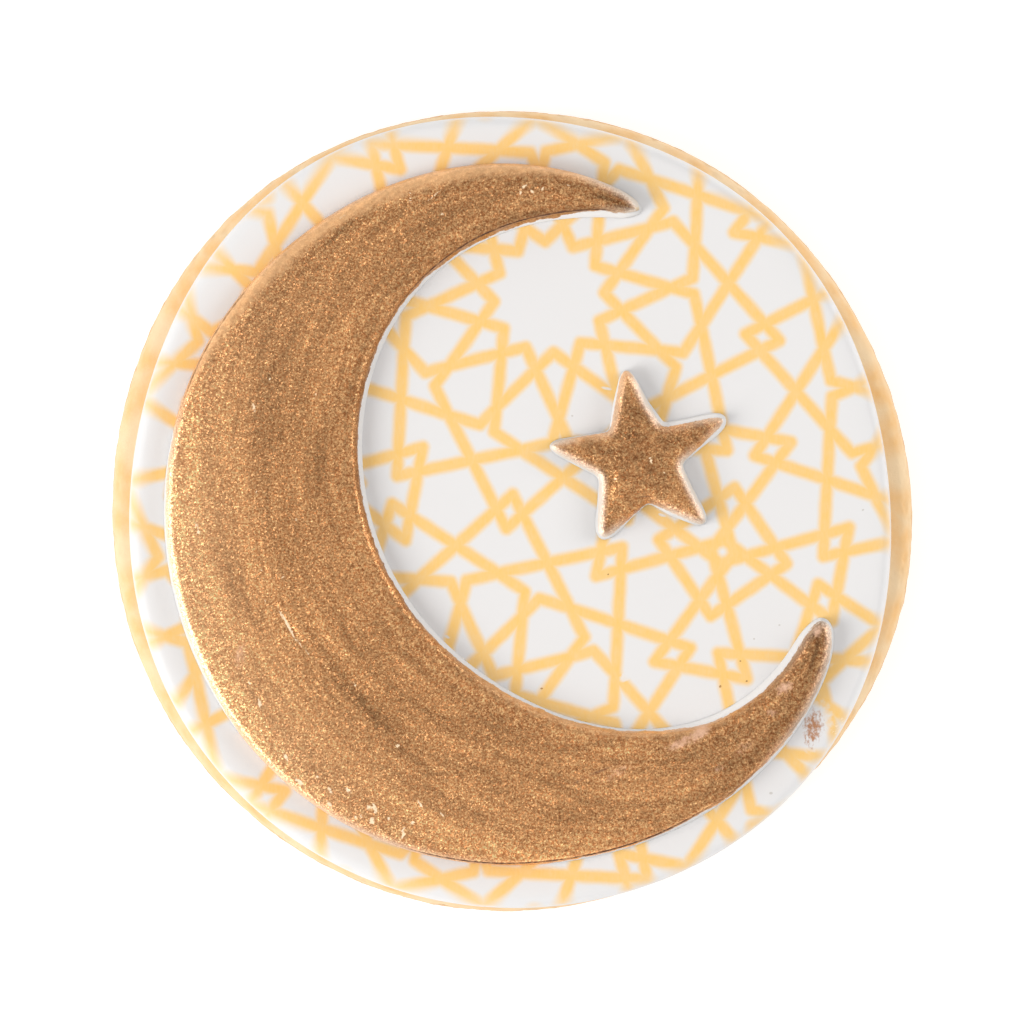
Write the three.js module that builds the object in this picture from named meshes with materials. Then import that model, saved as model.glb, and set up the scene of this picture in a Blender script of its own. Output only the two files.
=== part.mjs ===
// An iced butter cookie: a round biscuit with a disc of rolled white sugar paste on top,
// and on that a golden crescent moon and a golden five-pointed star cut from the same paste.
//
// Millimetres, +Z up. Seen from above, +X is to the right and +Y is away from the viewer.
// The origin is under the middle of the cookie, on the face that it lies on.

import * as THREE from 'three';

// ---------------------------------------------------------------- driving dimensions

const BISCUIT_RADIUS = 38.0;
const BISCUIT_HEIGHT = 6.5;
const ICING_RADIUS = 37.0;
const ICING_THICKNESS = 3.0;
const CRESCENT_THICKNESS = 2.5;
const CRESCENT_EDGE = 1.5;
const STAR_THICKNESS = 2.4;
const STAR_EDGE = 1.9;

// How square the rounded edge of a cut-out is: 2 is a quarter circle, more is squarer.
const EDGE_SQUARENESS = 2.6;

// Hand-cut rims aren't round. Each lobe is [waves in a turn, height, angle of its crest].
const BISCUIT_RIM = {
  centre: [0, 0],
  radius: BISCUIT_RADIUS,
  lobes: [[1, 0.30, 139], [2, 0.17, -93], [3, 0.21, -1], [4, 0.08, -107], [5, 0.12, -71]],
};
const ICING_RIM = {
  centre: [0, 0],
  radius: ICING_RADIUS,
  lobes: [[1, 0.18, -145], [2, 0.78, -153], [3, 0.16, -73], [4, 0.29, 165], [5, 0.14, -129]],
};

// The biscuit from its underside up: [distance in from the rim, height].
const BISCUIT_PROFILE = [
  [1.10, 0.0],
  [0.45, 0.30],
  [0.15, 1.1],
  [0.0, 2.6],
  [0.05, 4.2],
  [0.30, 5.4],
  [0.85, 6.2],
  [1.90, BISCUIT_HEIGHT],
];

// The icing's rim from its underside up: [distance in from the rim, height over the biscuit].
const ICING_PROFILE = [
  [0.35, 0.0],
  [0.0, 0.8],
  [0.18, 1.6],
  [0.65, 2.3],
  [1.50, 2.8],
  [2.90, ICING_THICKNESS],
];

// The baked side is a little rough: how far it swells and sinks, in waves round the rim.
const CRUMB_DEPTH = 0.05;
const CRUMB_WAVES = [17, 29, 43];
const CRUMB_SHIFT = 2.1;

// The crescent lies between two uneven arcs, from its upper tip round to its lower tip.
const CRESCENT_OUTER = {
  centre: [0.2, -0.3],
  radius: 32.56,
  lobes: [[1, 1.26, -151], [2, 1.11, -125], [3, 0.69, -100], [4, 0.31, -90]],
  from: 73,
  to: 330,
};
const CRESCENT_INNER = {
  centre: [9.0, 3.8],
  radius: 23.47,
  lobes: [[1, 0.42, 118], [2, 1.13, -140], [3, 0.66, 144], [4, 0.36, 141]],
  from: 88,
  to: 318,
};
// A tip's point, and the direction of the line that just touches it, from inner to outer side.
const UPPER_TIP = { point: [12.3, 28.5], across: 80 };
const LOWER_TIP = { point: [29.3, -10.0], across: -6 };

// The star: [radius, angle] of each point and of the notch that follows it.
const STAR_CENTRE = [12.1, 4.95];
const STAR_POINTS = [[9.1, 99], [9.25, 171], [8.7, 244], [9.2, 315.5], [9.4, 26]];
const STAR_NOTCHES = [[3.8, 137], [4.1, 203], [4.0, 281], [3.85, 354], [3.65, 59]];
const STAR_POINT_CUT = 1.3;
const STAR_NOTCH_CUT = 0.7;

// ---------------------------------------------------------------- fineness of the meshes

const RIM_STEPS = 120;
const CRESCENT_ROWS = 104;
const ARC_STEPS = 90;
const TIP_STEPS = 8;
const CORNER_STEPS = 5;
const STAR_EDGE_STEPS = 3;
// How much closer together the crescent's rows stand at its tips: 0 is even, 1 is touching.
const ROW_CROWDING = 0.77;

// Where a crescent's row has its points: distance in from each side, and the most of the width.
const CRESCENT_STATIONS = [[0.10, 0.06], [0.32, 0.14], [0.75, 0.26], [1.5, 0.38]];
// The star's rings, as shares of the way from its centre to its outline.
const STAR_RINGS = [0.965, 0.91, 0.82, 0.68, 0.5, 0.28];

// ---------------------------------------------------------------- finishes

const biscuitMaterial = new THREE.MeshStandardMaterial({ color: '#f2d7a2', roughness: 0.85 });
const icingMaterial = new THREE.MeshStandardMaterial({ color: '#f1efec', roughness: 0.5 });
const goldMaterial = new THREE.MeshStandardMaterial({
  color: '#b98755',
  roughness: 0.45,
  metalness: 0.6,
});

// ---------------------------------------------------------------- outlines

function radians(degrees) {
  return THREE.MathUtils.degToRad(degrees);
}

function polar([x, y], radius, angle) {
  return new THREE.Vector2(x + radius * Math.cos(angle), y + radius * Math.sin(angle));
}

function rimRadius(rim, angle) {
  let radius = rim.radius;
  for (const [waves, height, crest] of rim.lobes) {
    radius += height * Math.cos(waves * angle - radians(crest));
  }
  return radius;
}

function rimPoint(rim, angle) {
  return polar(rim.centre, rimRadius(rim, angle), angle);
}

// A quarter of an ellipse that leaves `start` along `heading` and arrives at the tip across it.
function tipArc(start, heading, tip) {
  const point = new THREE.Vector2(...tip.point);
  const across = polar([0, 0], 1, radians(tip.across));
  const toTip = point.clone().sub(start);
  const reach = toTip.cross(across) / heading.cross(across);
  const along = heading.clone().multiplyScalar(reach);
  const middle = point.clone().sub(along);
  const back = start.clone().sub(middle);
  const arc = [];
  for (let step = 1; step <= TIP_STEPS; step += 1) {
    const turn = (Math.PI / 2) * (step / TIP_STEPS);
    arc.push(middle.clone()
      .addScaledVector(back, Math.cos(turn))
      .addScaledVector(along, Math.sin(turn)));
  }
  return arc;
}

// One long side of the crescent, from the upper tip to the lower tip.
function crescentSide(rim) {
  const arc = [];
  for (let step = 0; step <= ARC_STEPS; step += 1) {
    arc.push(rimPoint(rim, radians(THREE.MathUtils.lerp(rim.from, rim.to, step / ARC_STEPS))));
  }
  const first = arc[0];
  const last = arc.at(-1);
  const leaving = first.clone().sub(arc[1]).normalize();
  const arriving = last.clone().sub(arc.at(-2)).normalize();
  const upper = tipArc(first, leaving, UPPER_TIP).reverse();
  const lower = tipArc(last, arriving, LOWER_TIP);
  return [...upper, ...arc, ...lower];
}

// Points spaced along a polyline at the given shares of its length.
function pointsAlong(line, shares) {
  const lengths = [0];
  for (let i = 1; i < line.length; i += 1) {
    lengths.push(lengths[i - 1] + line[i].distanceTo(line[i - 1]));
  }
  return shares.map((share) => {
    const wanted = share * lengths.at(-1);
    let i = 1;
    while (i < line.length - 1 && lengths[i] < wanted) i += 1;
    const part = (wanted - lengths[i - 1]) / (lengths[i] - lengths[i - 1]);
    return line[i - 1].clone().lerp(line[i], part);
  });
}

// The star's outline: every corner is a small curve and every edge between two is straight.
function starOutline() {
  const corners = [];
  STAR_POINTS.forEach(([pointRadius, pointAngle], arm) => {
    const [notchRadius, notchAngle] = STAR_NOTCHES[arm];
    corners.push({ at: polar(STAR_CENTRE, pointRadius, radians(pointAngle)), cut: STAR_POINT_CUT });
    corners.push({ at: polar(STAR_CENTRE, notchRadius, radians(notchAngle)), cut: STAR_NOTCH_CUT });
  });
  const bends = corners.map((corner, i) => {
    const before = corners[(i + corners.length - 1) % corners.length].at;
    const after = corners[(i + 1) % corners.length].at;
    const enter = before.clone().sub(corner.at).setLength(corner.cut).add(corner.at);
    const leave = after.clone().sub(corner.at).setLength(corner.cut).add(corner.at);
    return new THREE.QuadraticBezierCurve(enter, corner.at, leave).getPoints(CORNER_STEPS);
  });
  return bends.flatMap((bend, i) => {
    const start = bend.at(-1);
    const end = bends[(i + 1) % bends.length][0];
    const edge = [];
    for (let step = 1; step < STAR_EDGE_STEPS; step += 1) {
      edge.push(start.clone().lerp(end, step / STAR_EDGE_STEPS));
    }
    return [...bend, ...edge];
  });
}

// ---------------------------------------------------------------- closed meshes

// Collects shared vertices and the triangles between them, leaving out triangles with no area.
class Surface {
  constructor() {
    this.positions = [];
    this.triangles = [];
  }

  vertex(x, y, z) {
    this.positions.push(x, y, z);
    return this.positions.length / 3 - 1;
  }

  triangle(a, b, c) {
    if (a !== b && b !== c && c !== a) this.triangles.push(a, b, c);
  }

  // The strip between two rows of the same length, seen from the side that faces out.
  strip(row, next) {
    for (let i = 0; i + 1 < row.length; i += 1) {
      this.triangle(row[i], row[i + 1], next[i + 1]);
      this.triangle(row[i], next[i + 1], next[i]);
    }
  }

  // The strip between two closed rings, the second above or inside the first.
  band(ring, next) {
    this.strip([...ring, ring[0]], [...next, next[0]]);
  }

  // The faces between a ring and one point above or below it.
  fan(ring, apex, facesUp) {
    ring.forEach((vertex, i) => {
      const following = ring[(i + 1) % ring.length];
      if (facesUp) this.triangle(vertex, following, apex);
      else this.triangle(following, vertex, apex);
    });
  }

  geometry() {
    const geometry = new THREE.BufferGeometry();
    geometry.setAttribute('position', new THREE.Float32BufferAttribute(this.positions, 3));
    geometry.setIndex(this.triangles);
    geometry.computeVertexNormals();
    return geometry;
  }
}

// A disc with an uneven rim: its profile is stacked from the underside to the top.
function discGeometry(rim, profile, roughness) {
  const surface = new Surface();
  const rings = profile.map(([inset, height]) => {
    const ring = [];
    for (let step = 0; step < RIM_STEPS; step += 1) {
      const angle = 2 * Math.PI * (step / RIM_STEPS);
      const radius = rimRadius(rim, angle) - inset + roughness(angle, height);
      const point = polar(rim.centre, radius, angle);
      ring.push(surface.vertex(point.x, point.y, height));
    }
    return ring;
  });
  for (let level = 0; level + 1 < rings.length; level += 1) {
    surface.band(rings[level], rings[level + 1]);
  }
  const [x, y] = rim.centre;
  surface.fan(rings[0], surface.vertex(x, y, profile[0][1]), false);
  surface.fan(rings.at(-1), surface.vertex(x, y, profile.at(-1)[1]), true);
  return surface.geometry();
}

function crumb(angle, height) {
  let swell = 0;
  CRUMB_WAVES.forEach((waves, i) => {
    swell += Math.sin(waves * angle + CRUMB_SHIFT * (i + 1) * height);
  });
  return CRUMB_DEPTH * (swell / CRUMB_WAVES.length);
}

function smooth() {
  return 0;
}

// How high a cut-out stands at a distance in from its outline: a steep side, a rounded edge
// and a flat top.
function puffedHeight(distance, thickness, edge) {
  const left = 1 - Math.min(distance / edge, 1);
  return thickness * (1 - left ** EDGE_SQUARENESS) ** (1 / EDGE_SQUARENESS);
}

function distanceToOutline(point, outline) {
  let nearest = Infinity;
  outline.forEach((start, i) => {
    const along = outline[(i + 1) % outline.length].clone().sub(start);
    const share = point.clone().sub(start).dot(along) / along.lengthSq();
    const foot = start.clone().addScaledVector(along, THREE.MathUtils.clamp(share, 0, 1));
    nearest = Math.min(nearest, point.distanceTo(foot));
  });
  return nearest;
}

// The crescent: rows that cross it from the inner side to the outer side, between two tips.
function crescentGeometry() {
  const shares = [];
  for (let row = 0; row <= CRESCENT_ROWS; row += 1) {
    const even = row / CRESCENT_ROWS;
    shares.push(even - (ROW_CROWDING * Math.sin(2 * Math.PI * even)) / (2 * Math.PI));
  }
  const outer = pointsAlong(crescentSide(CRESCENT_OUTER), shares);
  const inner = pointsAlong(crescentSide(CRESCENT_INNER), shares);
  const outline = [...outer, ...inner.slice(1, -1).reverse()];
  const surface = new Surface();
  const rows = inner.map((start, row) => {
    const end = outer[row];
    const width = start.distanceTo(end);
    const first = surface.vertex(start.x, start.y, 0);
    if (row === 0 || row === CRESCENT_ROWS) {
      return Array(2 * CRESCENT_STATIONS.length + 3).fill(first);
    }
    const near = CRESCENT_STATIONS.map(([inset, most]) => Math.min(inset / width, most));
    const far = near.map((share) => 1 - share).reverse();
    const top = [...near, 0.5, ...far].map((share) => {
      const point = start.clone().lerp(end, share);
      const distance = distanceToOutline(point, outline);
      const height = puffedHeight(distance, CRESCENT_THICKNESS, CRESCENT_EDGE);
      return surface.vertex(point.x, point.y, height);
    });
    return [first, ...top, surface.vertex(end.x, end.y, 0)];
  });
  for (let row = 0; row < CRESCENT_ROWS; row += 1) {
    surface.strip(rows[row], rows[row + 1]);
    const under = [rows[row][0], rows[row].at(-1)];
    const nextUnder = [rows[row + 1][0], rows[row + 1].at(-1)];
    surface.strip(nextUnder, under);
  }
  return surface.geometry();
}

// The star: rings that shrink from its outline to its centre.
function starGeometry() {
  const centre = new THREE.Vector2(...STAR_CENTRE);
  const outline = starOutline();
  const surface = new Surface();
  const height = (point) => {
    return puffedHeight(distanceToOutline(point, outline), STAR_THICKNESS, STAR_EDGE);
  };
  const foot = outline.map((point) => surface.vertex(point.x, point.y, 0));
  const rings = STAR_RINGS.map((share) => outline.map((edge) => {
    const point = centre.clone().lerp(edge, share);
    return surface.vertex(point.x, point.y, height(point));
  }));
  [foot, ...rings].slice(0, -1).forEach((ring, i) => surface.band(ring, rings[i]));
  surface.fan(rings.at(-1), surface.vertex(centre.x, centre.y, height(centre)), true);
  surface.fan(foot, surface.vertex(centre.x, centre.y, 0), false);
  return surface.geometry();
}

// ---------------------------------------------------------------- the cookie

function piece(name, geometry, material, height) {
  const mesh = new THREE.Mesh(geometry, material);
  mesh.name = name;
  mesh.position.z = height;
  return mesh;
}

const ICING_TOP = BISCUIT_HEIGHT + ICING_THICKNESS;

const cookie = new THREE.Group();
cookie.add(
  piece('biscuit', discGeometry(BISCUIT_RIM, BISCUIT_PROFILE, crumb), biscuitMaterial, 0),
  piece('icing', discGeometry(ICING_RIM, ICING_PROFILE, smooth), icingMaterial, BISCUIT_HEIGHT),
  piece('crescent', crescentGeometry(), goldMaterial, ICING_TOP),
  piece('star', starGeometry(), goldMaterial, ICING_TOP),
);

export default cookie;
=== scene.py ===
# An iced butter cookie, dressed: a pale baked biscuit, a disc of rolled white sugar paste printed
# with a soft yellow lattice of stars, and on it a crescent moon and a star brushed with gold.
#
# Lengths and places are in millimetres, +Z up, +X to the right and +Y to the top of the picture.
# Each mesh is turned into metres where it is made.

import math
from functools import reduce

import bpy
import numpy as np
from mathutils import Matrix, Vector, noise
from mathutils.kdtree import KDTree


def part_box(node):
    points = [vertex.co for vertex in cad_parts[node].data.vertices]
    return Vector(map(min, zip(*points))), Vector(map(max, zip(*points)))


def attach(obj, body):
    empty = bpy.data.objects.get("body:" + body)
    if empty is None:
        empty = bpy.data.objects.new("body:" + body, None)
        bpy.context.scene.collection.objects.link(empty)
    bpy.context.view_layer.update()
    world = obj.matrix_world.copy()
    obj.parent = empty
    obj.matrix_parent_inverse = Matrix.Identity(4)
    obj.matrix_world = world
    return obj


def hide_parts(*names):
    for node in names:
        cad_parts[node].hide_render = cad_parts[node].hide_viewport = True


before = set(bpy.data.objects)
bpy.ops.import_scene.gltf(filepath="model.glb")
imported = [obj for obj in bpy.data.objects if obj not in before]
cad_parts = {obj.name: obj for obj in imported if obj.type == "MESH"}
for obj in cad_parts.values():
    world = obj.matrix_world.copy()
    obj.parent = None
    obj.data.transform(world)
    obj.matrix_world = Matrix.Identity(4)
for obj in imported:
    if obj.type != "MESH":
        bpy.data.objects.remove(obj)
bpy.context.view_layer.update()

MM = 0.001


def levels(node):
    """The lowest and highest height of a solid of the frame."""
    low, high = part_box(node)
    return low.z / MM, high.z / MM


# ---- driving dimensions

BISCUIT_FOOT, BISCUIT_TOP = levels("biscuit")
ICING_FOOT, ICING_TOP = levels("icing")
CRESCENT_THICKNESS = levels("crescent")[1] - ICING_TOP
STAR_THICKNESS = levels("star")[1] - ICING_TOP
# How a cut-out's edge is rounded: a low wall, then a bevel this wide, then a slightly domed top.
WALL_HEIGHT = 1.2
WALL_CURVE = 0.7
WALL_LEAST = 0.01
CRESCENT_BEVEL = 0.65
STAR_BEVEL = 0.7
BEVEL_SQUARENESS = 2.3
DOME_REACH = 4.5
DOME_DROP = 0.16

# A rim that isn't quite round. Each lobe is (waves in a turn, height, angle of its crest).
BISCUIT_RIM = {
    "radius": 38.0,
    "lobes": [(1, 0.30, 139), (2, 0.17, -93), (3, 0.21, -1), (4, 0.08, -107), (5, 0.12, -71)],
}
ICING_RIM = {
    "radius": 37.0,
    "lobes": [(1, 0.18, -145), (2, 0.78, -153), (3, 0.16, -73), (4, 0.29, 165), (5, 0.14, -129)],
}

# From the underside up: (distance in from the rim, height over the piece's foot).
BISCUIT_PROFILE = [
    (1.10, 0.0), (0.45, 0.30), (0.15, 1.1), (0.0, 2.6),
    (0.05, 4.2), (0.30, 5.4), (0.85, 6.2), (1.90, 6.5),
]
ICING_PROFILE = [
    (0.35, 0.0), (0.0, 0.75), (0.08, 1.6), (0.36, 2.36), (0.85, 2.8), (1.6, 2.95), (2.8, 3.0),
]

# The crescent lies between two uneven arcs, from its upper tip round to its lower tip.
CRESCENT_OUTER = {
    "centre": (0.2, -0.3),
    "radius": 32.56,
    "lobes": [(1, 1.26, -151), (2, 1.11, -125), (3, 0.69, -100), (4, 0.31, -90)],
    "arc": (73, 330),
}
CRESCENT_INNER = {
    "centre": (9.0, 3.8),
    "radius": 23.47,
    "lobes": [(1, 0.42, 118), (2, 1.13, -140), (3, 0.66, 144), (4, 0.36, 141)],
    "arc": (88, 318),
}
# A tip's point, and the direction of the line that just touches it, from inner to outer side.
UPPER_TIP = {"point": (12.3, 28.5), "across": 80}
LOWER_TIP = {"point": (29.3, -10.0), "across": -6}

# The star: (radius, angle) of each point and of the notch that follows it.
STAR_CENTRE = (12.1, 4.95)
STAR_POINTS = [(9.65, 99), (9.7, 171), (9.2, 244), (9.65, 315.5), (9.85, 26)]
STAR_NOTCHES = [(3.8, 137), (4.1, 203), (4.0, 281), (3.85, 354), (3.6, 55)]
STAR_POINT_CUT = 2.5
STAR_NOTCH_CUT = 0.7
# How far the bare foot of the star spreads: (at each point or notch, at the middle of the edge
# that follows it), starting from the first point.
STAR_FOOT = [
    (0.12, 0.26), (0.15, 0.10), (0.16, 0.16), (0.14, 0.16), (0.36, 0.14),
    (0.12, 0.34), (0.20, 0.08), (0.12, 0.26), (0.52, 0.45), (0.52, 0.12),
]
# How far up the surface of the bevel the dark line along the gold's edge lies. The line is the
# paint's darker rim and painted shade of the gap under the edge.
SEAM_CLIMB = 0.95
# The star's width of smooth gold, which is painted a lighter sheen, and the strength of the
# highlight painted along its edge, at the same places as its foot's.
STAR_SMOOTH = [
    (0.3, 0.0), (-0.1, 0.2), (0.0, -0.7), (-0.7, -0.7), (-0.7, -0.7),
    (-0.7, -0.7), (-0.7, -0.7), (-0.7, -0.2), (-0.4, -0.4), (-0.5, -0.7),
]
STAR_PAINTED_HIGHLIGHT = [
    (0.3, 0.4), (0.5, 0.0), (1.2, 1.0), (1.4, 1.9), (1.0, 0.0),
    (0.0, 0.7), (1.0, 1.9), (1.2, 0.0), (0.6, 0.3), (0.2, 1.8),
]
STAR_PAINTED_HIGHLIGHT_REACH = 1.1
STAR_LIP = 0.06

# What the crescent's sides show: (share of the way from the upper to the lower tip, value).
# WALL is the width of the bare sloping wall, LIP how far the gold runs down over it, SEAM the
# strength of the dark line at its top, which is the paint's darker rim and painted shade of the gap
# under the edge, and SMOOTH the width of smooth, less glittery gold, painted a lighter sheen.
INNER_WALL = [
    (0, 0.35), (0.04, 0.62), (0.1, 0.5), (0.2, 0.4), (0.35, 0.45), (0.6, 0.45),
    (0.7, 0.28), (0.8, 0.2), (0.86, 0.6), (0.92, 0.7), (0.97, 0.6), (1, 0.35),
]
OUTER_WALL = [
    (0, 0.3), (0.012, 0.05), (0.34, 0.05), (0.36, 0.15), (0.43, 0.22), (0.5, 0.22), (0.54, 0.12),
    (0.58, 0.05), (0.72, 0.06), (0.76, 0.16), (0.82, 0.18), (0.85, 0.3), (0.865, 0.16),
    (0.885, 0.3), (0.91, 0.32), (0.935, 0.2), (0.97, 0.22), (1, 0.3),
]
INNER_LIP = [(0, 0), (0.055, 0), (0.08, 0.3), (0.19, 0.22), (0.24, 0.03), (1, 0.03)]
OUTER_LIP = [(0, 0), (0.012, 0.4), (0.34, 0.4), (0.36, 0.03), (0.54, 0.03), (0.58, 0.4),
             (0.73, 0.3), (0.765, 0.03), (1, 0.03)]
INNER_SEAM = [(0.02, 0), (0.05, 1), (0.2, 0.9), (0.26, 0.3), (0.4, 0.2), (0.6, 0), (1, 0)]
OUTER_SEAM = [(0, 0), (0.255, 0), (0.27, 0.5), (0.33, 0.6), (0.345, 0.1), (0.45, 0), (0.66, 0),
              (0.69, 1), (0.83, 1), (0.85, 0.4), (0.93, 0.3), (1, 0)]
INNER_SMOOTH = [(0, -0.3), (0.3, -0.7), (0.55, -0.6), (0.65, 0.1), (0.85, 0.1), (0.9, -0.2),
                (1, -0.7)]
OUTER_SMOOTH = [(0, -0.6), (0.03, 0), (0.08, 0.65), (0.14, 1.05), (0.2, 0.9), (0.24, 1.1),
                (0.28, 0.8), (0.32, 0.2), (0.35, -0.7), (1, -0.7)]
# How strongly a pale highlight is painted along the edge, and how far in it reaches.
INNER_PAINTED_HIGHLIGHT = [(0, 1.6), (0.02, 0.5), (0.05, 0), (0.9, 0), (0.97, 0.3), (1, 0.4)]
OUTER_PAINTED_HIGHLIGHT = [(0, 1.8), (0.015, 1.3), (0.05, 0.1), (0.08, 0), (0.33, 0), (0.37, 0.5), (0.42, 0.65),
              (0.5, 0.65), (0.55, 0.35), (0.66, 0.5), (0.7, 0.3), (0.73, 0), (0.89, 0),
              (0.93, 0.6), (1, 0.8)]
PAINTED_HIGHLIGHT_REACH = 1.1
# Light and shade painted on the gold near the outer arc, by direction from its centre: lighter
# and paler toward the left and lower left, where the light falls, darker elsewhere.
OUTER_PAINTED_LIGHT = [(60, 0.85), (125, 0.8), (150, 1.15), (175, 1.85), (210, 1.85), (225, 1.7),
              (250, 1.45), (285, 1.4), (310, 0.68), (340, 0.62)]
OUTER_PAINTED_PALENESS = [(120, 0.0), (165, 0.18), (180, 0.36), (225, 0.3), (250, 0.1), (275, 0.0)]
PAINTED_LIGHT_REACH = 12.0
INNER_PAINTED_LIGHT = 1.02
# How much darker the gold is at the crescent's inner edge, which turns away from the light.
INNER_EDGE_SHADE = 0.35
# Painted light and shade on the star's gold: how light it is painted at its edge and at this
# distance in, darker in the middle where the flat top reflects less light.
STAR_PAINTED_LIGHT = (1.04, 0.81)
STAR_PAINTED_LIGHT_REACH = 2.4

# How far a cut-out is sunk into the icing that it is stuck on.
SUNK = 0.12

# How finely a disc is cut: steps round it and between two points of its profile, and the rings of
# its underside and its top, as (first share of the way out, last, number).
BISCUIT_STEPS = 640
BISCUIT_UNDER = (0.03, 0.985, 56)
BISCUIT_OVER = (0.97, 0.05, 16)
ICING_STEPS = 720
ICING_UNDER = (0.1, 0.98, 6)
ICING_OVER = (0.99, 0.02, 84)
PROFILE_STEPS = 6
# Rows along the crescent and how they crowd at its tips, and the points of each row: this far in
# from either edge, at most this share of the width, and this many steps between.
CRESCENT_ROWS = 700
TIP_CROWDING = 0.77
CRESCENT_INSETS = [0.04, 0.1, 0.17, 0.25, 0.34, 0.44, 0.54, 0.66, 0.8, 0.95, 1.15, 1.4, 1.75]
MOST_INSETS = np.linspace(0.02, 0.40, len(CRESCENT_INSETS))
CRESCENT_MIDDLE = 96
ON_THE_EDGE = 1e-6
# The star's rings, as shares of the way in, and how high its foot's rings lie over the icing.
STAR_RINGS = np.append(0, np.geomspace(0.006, 0.97, 60))
SKIRT_HEIGHTS = (-SUNK, 0.3, 0.85)

# Layers of relief as (height, size, seed), and pits as (depth, size, seed, noise at their edge).
CRUMB = [(0.08, 1.6, 1), (0.05, 0.6, 2)]
PORES = (0.22, 0.8, 3, 0.32)
UNDERSIDE_PITS = (0.16, 1.1, 4, 0.25)
PIT_FLOOR = 0.6
ICING_WAVES = [(0.05, 11.0, 5), (0.012, 3.0, 6)]
GOLD_EDGE_WANDER = [(0.12, 0.9, 7)]
# How far the crumb and the icing's waves are set back, to stay inside the solids.
CRUMB_DROP = 0.08
ICING_DROP = 0.05


# ---- outlines

def unit(angle):
    """The direction of an angle, or of each of several, in radians."""
    return np.stack([np.cos(angle), np.sin(angle)], axis=-1)


def rim_radius(rim, angle):
    radius = np.full(np.shape(angle), rim["radius"], float)
    for waves, height, crest in rim["lobes"]:
        radius = radius + height * np.cos(waves * angle - math.radians(crest))
    return radius


def rim_points(rim, angles):
    return np.array(rim["centre"]) + rim_radius(rim, angles)[:, None] * unit(angles)


def cross(a, b):
    return a[0] * b[1] - a[1] * b[0]


def tip_arc(start, heading, tip, steps):
    """A quarter of an ellipse that leaves start along heading and arrives at the tip across it."""
    point = np.array(tip["point"])
    across = unit(math.radians(tip["across"]))
    along = heading * cross(point - start, across) / cross(heading, across)
    middle = point - along
    turn = (math.pi / 2) * np.arange(1, steps + 1)[:, None] / steps
    return middle + (start - middle) * np.cos(turn) + along * np.sin(turn)


def crescent_side(rim, arc_steps=300, tip_steps=24):
    """One long side of the crescent, from the upper tip to the lower tip."""
    first, last = (math.radians(degrees) for degrees in rim["arc"])
    arc = rim_points(rim, np.linspace(first, last, arc_steps + 1))
    leaving = (arc[0] - arc[1]) / np.linalg.norm(arc[0] - arc[1])
    arriving = (arc[-1] - arc[-2]) / np.linalg.norm(arc[-1] - arc[-2])
    upper = tip_arc(arc[0], leaving, UPPER_TIP, tip_steps)[::-1]
    lower = tip_arc(arc[-1], arriving, LOWER_TIP, tip_steps)
    return np.vstack([upper, arc, lower])


def lengths_along(line):
    """How far along a polyline each of its points lies."""
    return np.concatenate([[0], np.cumsum(np.linalg.norm(np.diff(line, axis=0), axis=1))])


def points_along(line, shares):
    """Points spaced along a polyline at the given shares of its length."""
    along = lengths_along(line)
    wanted = shares * along[-1]
    return np.stack([np.interp(wanted, along, line[:, axis]) for axis in (0, 1)], axis=1)


def star_outline(corner_steps=10, edge_steps=24):
    """The star's outline: every corner is a small curve and every edge between two is straight."""
    corners = []
    for (radius, angle), (notch_radius, notch_angle) in zip(STAR_POINTS, STAR_NOTCHES):
        corners.append((radius * unit(math.radians(angle)), STAR_POINT_CUT))
        corners.append((notch_radius * unit(math.radians(notch_angle)), STAR_NOTCH_CUT))
    bends = []
    share = np.linspace(0, 1, corner_steps + 1)[:, None]
    for i, (corner, cut) in enumerate(corners):
        before = corners[i - 1][0] - corner
        after = corners[(i + 1) % len(corners)][0] - corner
        enter = corner + before * cut / np.linalg.norm(before)
        leave = corner + after * cut / np.linalg.norm(after)
        bends.append(
            enter * (1 - share) ** 2 + corner * 2 * share * (1 - share) + leave * share ** 2
        )
    outline = []
    inner_shares = np.arange(1, edge_steps)[:, None] / edge_steps
    for i, bend in enumerate(bends):
        end = bends[(i + 1) % len(bends)][0]
        outline += [bend, bend[-1] * (1 - inner_shares) + end * inner_shares]
    return np.array(STAR_CENTRE) + np.vstack(outline)


def smooth_line(points, steps):
    """A smooth curve through the points, with the same number of steps between each two."""
    points = np.array(points, float)
    padded = np.vstack([points[:1], points, points[-1:]])
    share = (np.arange(steps) / steps)[:, None]
    parts = []
    for a, b, c, d in zip(padded, padded[1:], padded[2:], padded[3:]):
        square = 2 * a - 5 * b + 4 * c - d
        cube = 3 * b - a - 3 * c + d
        parts.append(b + ((c - a) * share + square * share ** 2 + cube * share ** 3) / 2)
    return np.vstack(parts + [points[-1:]])


def nearest_on_outline(points, outline):
    """Each point's distance to a closed outline, and the number of the corner nearest to it."""
    tree = KDTree(len(outline))
    for number, corner in enumerate(outline):
        tree.insert((*corner, 0), number)
    tree.balance()
    corners = np.array([tree.find((*point, 0))[1] for point in points])
    distances = []
    for start in (corners - 1, corners):
        a = outline[start % len(outline)]
        along = outline[(start + 1) % len(outline)] - a
        share = ((points - a) * along).sum(axis=1) / (along ** 2).sum(axis=1)
        foot = a + np.clip(share, 0, 1)[:, None] * along
        distances.append(np.linalg.norm(points - foot, axis=1))
    return np.minimum(*distances), corners


def along_sides(inner, outer, shares):
    """Values along the crescent's outline, given along its inner and its outer side."""
    down = np.interp(shares, *np.transpose(inner))
    up = np.interp(shares[1:-1][::-1], *np.transpose(outer))
    return np.concatenate([down, up])


# ---- relief

def bumps(points, size, seed):
    """Smooth noise from -1 to 1 at each point, with bumps of the given size."""
    shift = Vector((seed * 17.3, seed * 5.1, seed * 9.7))
    return np.array([noise.noise(Vector(point) / size + shift) for point in points])


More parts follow.
